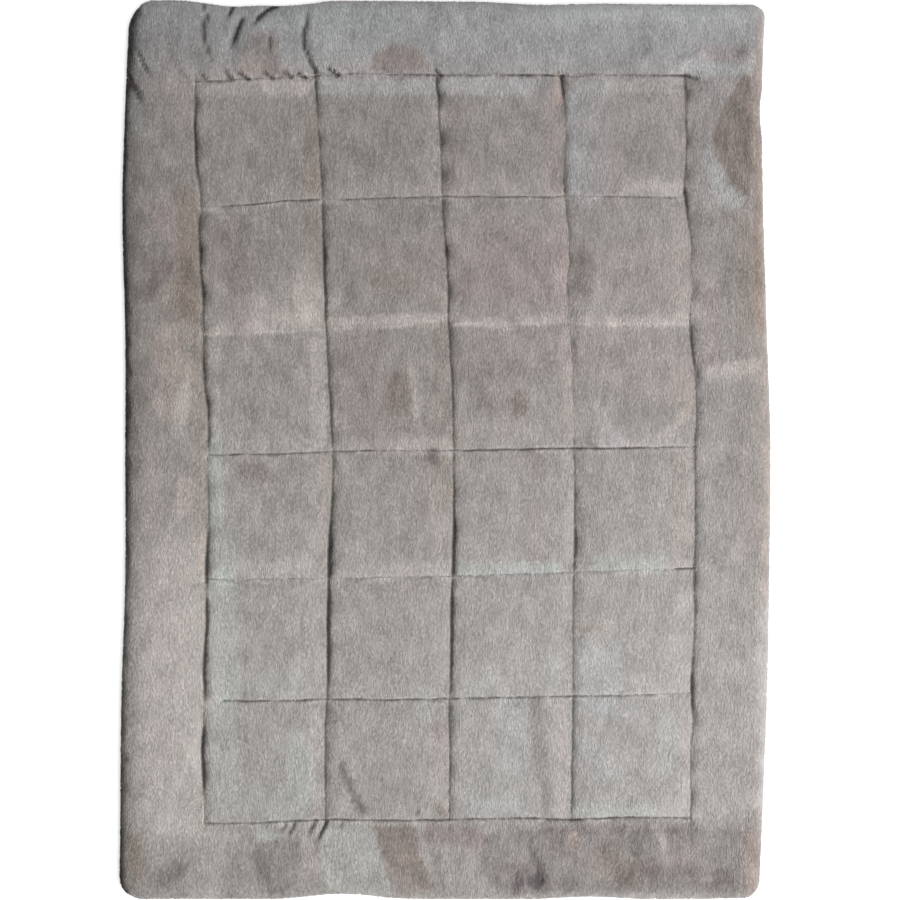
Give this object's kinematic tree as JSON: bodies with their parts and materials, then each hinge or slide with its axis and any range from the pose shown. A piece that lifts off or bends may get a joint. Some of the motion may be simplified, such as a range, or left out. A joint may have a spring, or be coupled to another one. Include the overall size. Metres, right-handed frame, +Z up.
{
  "type": "bedspread",
  "caption": "Large plush quilted bedspread lying flat: crowned squares between sunk quilting lines, inside a wide plain border with rounded corners and a rolled edge.",
  "frame": {"origin": "on the surface that it lies on, under the middle of its outline", "axes": "+Y towards the head end, +X to the right side seen from above, +Z up out of the plush face"},
  "size_m": [1.8312, 2.5268, 0.0335],
  "materials": {
    "plush": "matte"
  },
  "bodies": {
    "root": {"quilt": "plush"}
  },
  "joints": []
}
